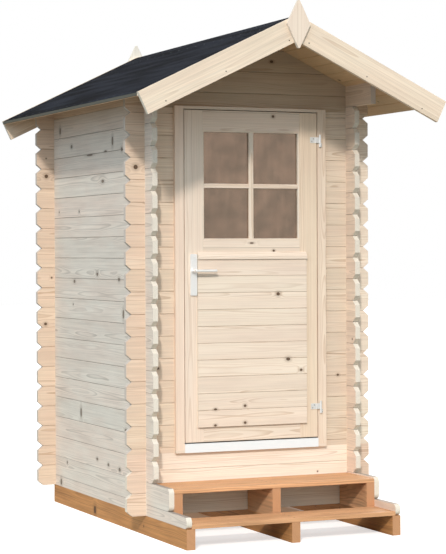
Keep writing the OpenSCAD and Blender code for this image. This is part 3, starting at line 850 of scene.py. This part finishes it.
class SHED_OT_floor(ShedJob, Operator):
    """Lay the tongued floor boards from front to back, with a fine vee along each joint"""

    bl_idname = "shed.floor"
    bl_label = "Floor boards"

    boards: IntProperty(
        name="Boards", default=12, min=4, max=30, description="Boards across the floor"
    )

    def execute(self, context):
        low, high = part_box("floor_boards")
        pitch = (high.x - low.x) / self.boards
        vee = 0.002
        joints = low.x + pitch * np.arange(1, self.boards)
        x, dip = grooved(low.x, joints, high.x, vee, vee)
        top = np.stack([x, high.z - dip], axis=-1)
        outline = np.concatenate([top, [[high.x, low.z], [low.x, low.z]]])
        at = (0, middle("floor_boards").z)
        finish = wood("floor_boards", "yxz", pitch, "spruce", at, low.x, seed=52.0, rate=0.3)
        part = extruded(outline, 1, low.y, high.y, (0, 2))
        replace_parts(piece("floor_deck", part, finish, *ON_SHED), "floor_boards")
        return {"FINISHED"}


def bored(target, spot, diameter, depth=0.06):
    """Cuts a round hole along Y through the door, at a place (x, z)."""
    hole = turned([diameter / 2] * 2, [-depth, depth], 32)
    tool = made_object("bore", copies(hole, [(spot[0], 0.0, spot[1])], TO_FRONT))
    cutter = tool.data
    cut = target.modifiers.new("bore", "BOOLEAN")
    cut.operation, cut.object, cut.solver = "DIFFERENCE", tool, "EXACT"
    bpy.context.view_layer.update()
    graph = bpy.context.evaluated_depsgraph_get()
    result = bpy.data.meshes.new_from_object(target.evaluated_get(graph))
    target.modifiers.remove(cut)
    target.data = result
    bpy.data.objects.remove(tool)
    bpy.data.meshes.remove(cutter)


class SHED_OT_door(ShedJob, Operator):
    """Build the door leaf from stiles, rails and boards, and finish its panel"""

    bl_idname = "shed.door"
    bl_label = "Door leaf"

    panel_knots = (
        (0.201, 0.881, 0.012, 0.009), (0.144, 1.223, 0.010, 0.009), (0.276, 0.822, 0.008, 0.007),
        (-0.048, 0.645, 0.008, 0.007), (-0.048, 0.557, 0.008, 0.007),
        (-0.215, 0.632, 0.009, 0.006), (-0.216, 0.549, 0.008, 0.006)
    )
    rail_knots = (
        (0.125, 1.449, 0.007, 0.006), (-0.001, 1.489, 0.012, 0.004), (0.124, 2.150, 0.008, 0.007)
    )

    def execute(self, context):
        door = context.scene.shed_door
        low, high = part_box("door_leaf")
        glass_low, glass_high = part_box("door_glass")
        panel_low, panel_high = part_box("door_panel")
        inner = glass_high.x + door.bead
        side_x, head_z = high.x + LEAF_GROWTH, high.z + LEAF_GROWTH

        # The hinge stile's tint is painted shade, as light falls off to the right across the door.
        for hand, side, seed, tint in (
            ("lock", -1, 61.0, PLAIN), ("hinge", 1, 64.0, (0.99, 0.95, 0.89))
        ):
            finish = wood(
                hand + "_stile", "zxy", high.x - inner, at=(side * (inner + high.x) / 2, 0.0),
                seed=seed, rate=0.12, tint=tint
            )
            left, right = sorted((side * inner, side * side_x))
            part = eased_bar((left, low.y, low.z), (right, high.y, head_z), 2, door.ease)
            made = piece("door_stile_" + hand, part, finish, *ON_DOOR)
            if hand == "lock":
                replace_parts(made, "door_leaf")
                bored(made, SPINDLE, SPINDLE_BORE)

        rail_width = 0.1
        finish = wood(
            "door_rails", "xzy", rail_width, joint=low.z, knots=self.rail_knots, seed=67.0, rate=0.1
        )
        spans = (
            (low.z, panel_low.z), (panel_high.z, glass_low.z - door.bead),
            (glass_high.z + door.bead, head_z)
        )
        bars = [eased_bar((-inner, low.y, a), (inner, high.y, b), 0, door.ease) for a, b in spans]
        piece("door_rails", joined(bars), finish, *ON_DOOR)

        pitch = (panel_high.z - panel_low.z) / door.boards
        back, vee = high.y - door.recess, 0.0015
        joints = panel_low.z + pitch * np.arange(1, door.boards)
        z, dip = grooved(panel_low.z, joints, panel_high.z, vee, vee)
        face = np.stack([back - dip, z], axis=-1)
        outline = np.concatenate([face, [[low.y, panel_high.z], [low.y, panel_low.z]]])
        finish = wood("door_infill", "xzy", pitch, joint=panel_low.z, seed=71.0, rate=0.2)
        part = extruded(outline, 0, -inner, inner, (1, 2))
        piece("door_infill", part, finish, *ON_DOOR)
        at = (0.0, middle("door_panel").y)
        finish = wood(
            "door_panel", "xzy", pitch, "spruce", at, panel_low.z, self.panel_knots, 76.0, rate=0.0
        )
        coat(finish, "door_panel")
        return {"FINISHED"}


def glass_finish(tone):
    """Window glass: a dark mirror with a slow ripple, in a mottle of two tones.
    Its brown tone is painted, standing in for the shaded room seen through the pane.
    """
    glass = Finish("window_glass")
    place = glass.node("TexCoord", out="Object")
    x, _, z = glass.axes(place)
    ripple = glass.noise((x * 26.0, 0.0, z * 4.0), 2.0)
    mottle = glass.noise(place, 4.0, 10.0).over(0.3, 0.7)
    blotch = glass.mix(mottle, tuple(tone), tinted(tone, (1.3, 1.22, 1.2)))
    return glass.surface(
        Base_Color=glass.vectors("SCALE", blotch, Scale=0.74 + ripple * 0.3), Roughness=0.12,
        Metallic=0.85, Alpha=0.86 + mottle * 0.08, Specular_IOR_Level=0.5,
        bump=(ripple, 0.0004, 0.2)
    )


class SHED_OT_glazing(ShedJob, Operator):
    """Glaze the window: glass, beads round it, and bars that part it into four panes"""

    bl_idname = "shed.glazing"
    bl_label = "Glazing"

    cross_at: FloatProperty(
        name="Cross bar", default=0.4945, min=0.2, max=0.8, description="Place of the cross bar"
    )

    def execute(self, context):
        door = context.scene.shed_door
        low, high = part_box("door_glass")
        bead = door.bead
        face = abs(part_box("door_leaf")[0].y) - 0.0015
        parts = []
        for side in (-1, 1):
            glass, front, soft = side * high.y, side * face, side * 0.003
            profile = [
                (0.0, glass), (bead, glass), (bead, front - soft * 1.6),
                (bead - 0.0012, front - soft * 0.5), (bead - 0.0035, front), (0.0008, front),
                (0.0, front - soft * 0.3)
            ]
            edges = ((low.x - bead, low.z - bead), (high.x + bead, high.z + bead))
            parts.append(mitred(profile, *edges))
        finish = wood("glazing_beads", "xzy", 0.05, seed=81.0, rate=0.0)
        piece("glazing_beads", joined(parts), finish, *ON_DOOR)

        def bar(width, centre, axis, start, end, depth):
            """A bar on both faces of the glass, with sloped edges on its outer face."""
            made = []
            for side in (-1, 1):
                top = side * depth
                half = [
                    (width / 2, side * high.y), (width / 2, top - side * 0.0045),
                    (width / 2 - 0.0008, top - side * 0.0022), (width / 2 - 0.0028, top)
                ]
                outline = [(centre - off, y) for off, y in half]
                outline += [(centre + off, y) for off, y in reversed(half)]
                made.append(extruded(outline, axis, start, end, (0, 1) if axis == 2 else (2, 1)))
            return joined(made)

        tuck = bead * 0.9
        cross_z = low.z + (high.z - low.z) * self.cross_at
        upright = bar(door.upright, 0.0, 2, low.z - tuck, high.z + tuck, face - 0.0010)
        cross = bar(door.cross, cross_z, 0, low.x - tuck, high.x + tuck, face - 0.0018)
        finish = wood("upright_bar", "zxy", 0.026, seed=84.0, rate=0.0)
        piece("glazing_bar_upright", upright, finish, *ON_DOOR)
        finish = wood("cross_bar", "xzy", 0.024, at=(cross_z, 0.0), seed=87.0, rate=0.0)
        piece("glazing_bar_cross", cross, finish, *ON_DOOR)
        coat(glass_finish(door.glass), "door_glass")
        return {"FINISHED"}


class SHED_OT_ironwork(ShedJob, Operator):
    """Finish the hinges, handle and threshold, and drive their screws"""

    bl_idname = "shed.ironwork"
    bl_label = "Hinges, handle and threshold"

    def execute(self, context):
        iron = context.scene.shed_ironwork
        steel = metal("hinge_zinc", iron.steel, 0.36, 240.0, 0.55)
        satin = metal("handle_satin", iron.satin, 0.34, 160.0, 0.55)
        screws = metal("screw_steel", iron.screw, 0.45, 300.0)
        coat(steel, "hinge_pins", "hinge_leaves")
        coat(satin, "handle_plates", "door_lever")
        strip = Finish("threshold_white")
        dust = strip.noise(strip.node("TexCoord", out="Object"), 3.0, 30.0)
        tone = strip.mix(dust, darker(iron.strip, 0.97), tuple(iron.strip))
        coat(strip.surface(Base_Color=tone, Roughness=0.42 + dust * 0.12), "threshold_strip")

        # A hinge from its foot up: a foot on the jamb, the leaf on the door, and a second foot
        hinge_h, foot_h, leaf_h = 0.064, 0.020, 0.030
        leaves_low, leaves_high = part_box("hinge_leaves")
        pins_low, pins_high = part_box("hinge_pins")
        feet = (pins_low.z, leaves_high.z - hinge_h)
        plate = 0.0025
        plate_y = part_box("door_leaf")[0].y - plate
        door_x, jamb_x = leaves_low.x + 0.013, pins_high.x - 0.0045
        head = screw_head(iron.screw_d, 0.0005, 0.0012)
        small = screw_head(iron.screw_d * 0.8, 0.0004, 0.0012)
        places = [
            (door_x + dx, plate_y, foot + foot_h + leaf_h * share)
            for foot in feet for dx, share in ((-0.004, 0.27), (0.006, 0.73))
        ]
        piece("hinge_screws_door", copies(head, places, TO_FRONT), screws, "door", "hinge_steel")
        places = [(jamb_x, plate_y, foot + foot_h * share) for foot in feet for share in (0.26, 0.76)]
        piece("hinge_screws_jamb", copies(small, places, TO_FRONT), screws, "shed", "hinge_steel")

        low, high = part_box("handle_plates")
        collar = turned(
            np.array([14.5, 14.5, 13.8, 12.2, 9.9, 9.9]) / 1000,
            np.array([-1.0, 2.6, 4.0, 5.0, 5.4, -1.0]) / 1000, 40, capped=False
        )
        screw_in = 0.014
        ends = [(middle("handle_plates").x, z) for z in (low.z + screw_in, high.z - screw_in)]
        for name, part, spots, smooth in (
            ("handle_screws", head, ends, False), ("handle_collars", collar, [SPINDLE], True)
        ):
            part = on_faces(part, spots, low.y, high.y)
            piece(name, part, satin, "door", "handle_metal", smooth)
        return {"FINISHED"}


class SHED_OT_nails(ShedJob, Operator):
    """Nail the steps and the barge boards"""

    bl_idname = "shed.nails"
    bl_label = "Nails"

    def execute(self, context):
        iron = context.scene.shed_ironwork
        dark = metal("nail_steel", iron.nail, 0.5, 300.0)
        head = nail_head(iron.nail_d, 0.0006, 0.002)
        end_in, front_in, back_in = 0.014, 0.024, 0.028
        parts = []
        for node, count, _ in STEPS:
            low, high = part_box(node)
            pitch = tread_pitch(node, count)
            x = np.array([low.x + end_in, 0.0, high.x - end_in])
            rows = np.array([front_in, pitch - back_in])
            y = (low.y + pitch * np.arange(count)[:, None] + rows).ravel()
            grid = np.stack(np.meshgrid(x, y), axis=-1).reshape(-1, 2)
            parts.append(copies(head, np.column_stack([grid, np.full(len(grid), high.z)])))
        piece("step_nails", joined(parts), dark, "shed", "treated_wood", smooth=True)

        edge_in = 0.022
        foot = BARGE_WIDTH / math.cos(PITCH) - edge_in
        run = (-0.045, -0.385, -0.700, 0.063, 0.385, 0.700)
        spots = [(x, RIDGE_Z - abs(x) * math.tan(PITCH) - foot) for x in run]
        front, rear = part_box("barge_front_left")[0].y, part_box("barge_rear_left")[1].y
        nails = on_faces(head, spots, front, rear)
        piece("barge_nails", nails, dark, "shed", "spruce", smooth=True)
        return {"FINISHED"}


def floor_finish():
    """A pale floor. To the camera it is nearly white and keeps the shed's shadow, with a painted
    brown shadow under the shed. To other rays it is a grey that darkens away from the shed, and it
    gives off some light under the steps."""
    pale = Finish("pale_floor")
    seen = pale.node("LightPath").take("Is Camera Ray")
    place = pale.node("TexCoord", out="Object")
    away = pale.vectors("LENGTH", place, out="Value")
    x, y, _ = pale.axes(place)
    below = 1 - abs(x).over(0.5, 0.62)
    # Painted shadow: under the shed the camera sees a dark brown patch.
    painted_shadow = y.over(0.15, 0.40) * (1 - y.over(1.38, 1.5)) * below
    under = y.over(-0.32, 0.42) * below
    bounce = pale.mix(away.over(1.4, 2.4), (0.465, 0.48, 0.43), (0.17, 0.175, 0.16))
    lift = pale.mix(under, (0.0, 0.0, 0.0), (0.42, 0.42, 0.42))
    glow = pale.mix(1 - painted_shadow, (0.10, 0.056, 0.03), (0.6, 0.6, 0.6))
    return pale.surface(
        Base_Color=pale.mix(seen, bounce, (0.75, 0.735, 0.73)), Roughness=0.9,
        Specular_IOR_Level=0.0, Emission_Color=pale.mix(seen, lift, glow), Emission_Strength=1.0
    )


def studio_world(strength):
    """Soft light all round, dimmer from below, that camera, mirror and glass rays see as white."""
    world = bpy.data.worlds.new("studio")
    studio = Finish("studio", world)
    up = studio.axes(studio.node("TexCoord", out="Generated"))[2]
    glow = (0.4 + up.over(-0.1, 0.5) * 0.6) * strength
    sky = studio.node("Background", Color=(0.855, 0.953, 1.0, 1), Strength=glow)
    white = studio.node("Background", Color=(1, 1, 1, 1), Strength=1.0)
    path = studio.node("LightPath")
    plain = path.take("Is Camera Ray").most(path.take("Is Glossy Ray"))
    plain = plain.most(path.take("Is Transmission Ray"))
    studio.node("OutputWorld", studio.node("MixShader", plain, sky, white))
    return world


def lamp(name, kind, place, towards, energy, tone, size):
    """A lamp that points at a place. size is a sun's angle or a disk's diameter."""
    data = bpy.data.lights.new(name, kind)
    data.energy, data.color = energy, tone
    if kind == "SUN":
        data.angle = size
    else:
        data.shape, data.size = "DISK", size
    made = bpy.data.objects.new(name, data)
    aim = np.array(towards, float) - np.array(place, float)
    made.location = place
    made.visible_camera = False
    made.rotation_mode = "QUATERNION"
    made.rotation_quaternion = Vector(aim).to_track_quat("-Z", "Y")
    bpy.context.scene.collection.objects.link(made)


class SHED_OT_stage(ShedJob, Operator):
    """Set the pale floor, the soft lights and the camera"""

    bl_idname = "shed.stage"
    bl_label = "Stage"

    def execute(self, context):
        stage = context.scene.shed_stage
        reach, ground = 40.0, -0.0005
        corners = [(-reach, -reach), (reach, -reach), (reach, reach), (-reach, reach)]
        mesh = bpy.data.meshes.new("floor")
        mesh.from_pydata([(x, y, ground) for x, y in corners], [], [(0, 1, 2, 3)])
        mesh.materials.append(floor_finish())
        floor = bpy.data.objects.new("floor", mesh)
        bpy.context.scene.collection.objects.link(floor)
        context.scene.world = studio_world(stage.sky)

        lamp("sun", "SUN", (-3.36, -5.75, 4.08), (0, 0, 0), stage.sun, (1.0, 0.944, 0.886), 0.085)
        for name, place, energy, tone, size in (
            ("left_fill", (-6.2, -3.6, 3.0), stage.left_fill, (0.544, 0.776, 1.0), 4.0),
            ("front_fill", (-1.5, -8.5, 5.2), stage.front_fill, (0.80, 0.92, 1.0), 4.5),
            ("rear_fill", (5.5, 7.5, 4.5), stage.rear_fill, (1.0, 0.98, 0.95), 4.0),
        ):
            lamp(name, "AREA", place, (0, 0.5, 1.2), energy, tone, size)

        data = bpy.data.cameras.new("camera")
        camera = bpy.data.objects.new("camera", data)
        camera.location = (-4.0772, -9.0125, 1.4436)
        camera.rotation_euler = (math.pi / 2 - 0.01, 0.0041, -0.4157)
        data.lens = stage.lens
        data.sensor_width = 36.0
        data.shift_x, data.shift_y = -10.0 / 554, -6.16 / 554
        data.clip_end = 200.0
        bpy.context.scene.collection.objects.link(camera)
        context.scene.camera = camera
        context.scene.view_settings.view_transform = "Standard"
        return {"FINISHED"}


OPERATORS = (
    SHED_OT_walls, SHED_OT_steps, SHED_OT_trim, SHED_OT_roof_boards, SHED_OT_roof_felt,
    SHED_OT_floor, SHED_OT_door, SHED_OT_glazing, SHED_OT_ironwork, SHED_OT_nails, SHED_OT_stage
)
GROUPS = {
    "shed_timber": ShedTimber,
    "shed_roof": ShedRoof,
    "shed_door": ShedDoor,
    "shed_ironwork": ShedIronwork,
    "shed_stage": ShedStage,
}


class SHED_PT_panel(Panel):
    bl_idname = "SHED_PT_panel"
    bl_label = "Log cabin shed"
    bl_space_type = "VIEW_3D"
    bl_region_type = "UI"
    bl_category = "Shed"

    def draw(self, context):
        for name, group in GROUPS.items():
            box = self.layout.box()
            box.label(text=name.split("_")[1].capitalize())
            for key in group.__annotations__:
                box.prop(getattr(context.scene, name), key)
        for operator in OPERATORS:
            self.layout.operator(operator.bl_idname)


CLASSES = (*GROUPS.values(), *OPERATORS, SHED_PT_panel)


def register():
    for cls in CLASSES:
        bpy.utils.register_class(cls)
    for name, group in GROUPS.items():
        setattr(bpy.types.Scene, name, PointerProperty(type=group))


def unregister():
    for name in GROUPS:
        delattr(bpy.types.Scene, name)
    for cls in reversed(CLASSES):
        bpy.utils.unregister_class(cls)


def main():
    register()
    for operator in OPERATORS:
        family, verb = operator.bl_idname.split(".")
        getattr(getattr(bpy.ops, family), verb)()


if __name__ == "__main__":
    main()
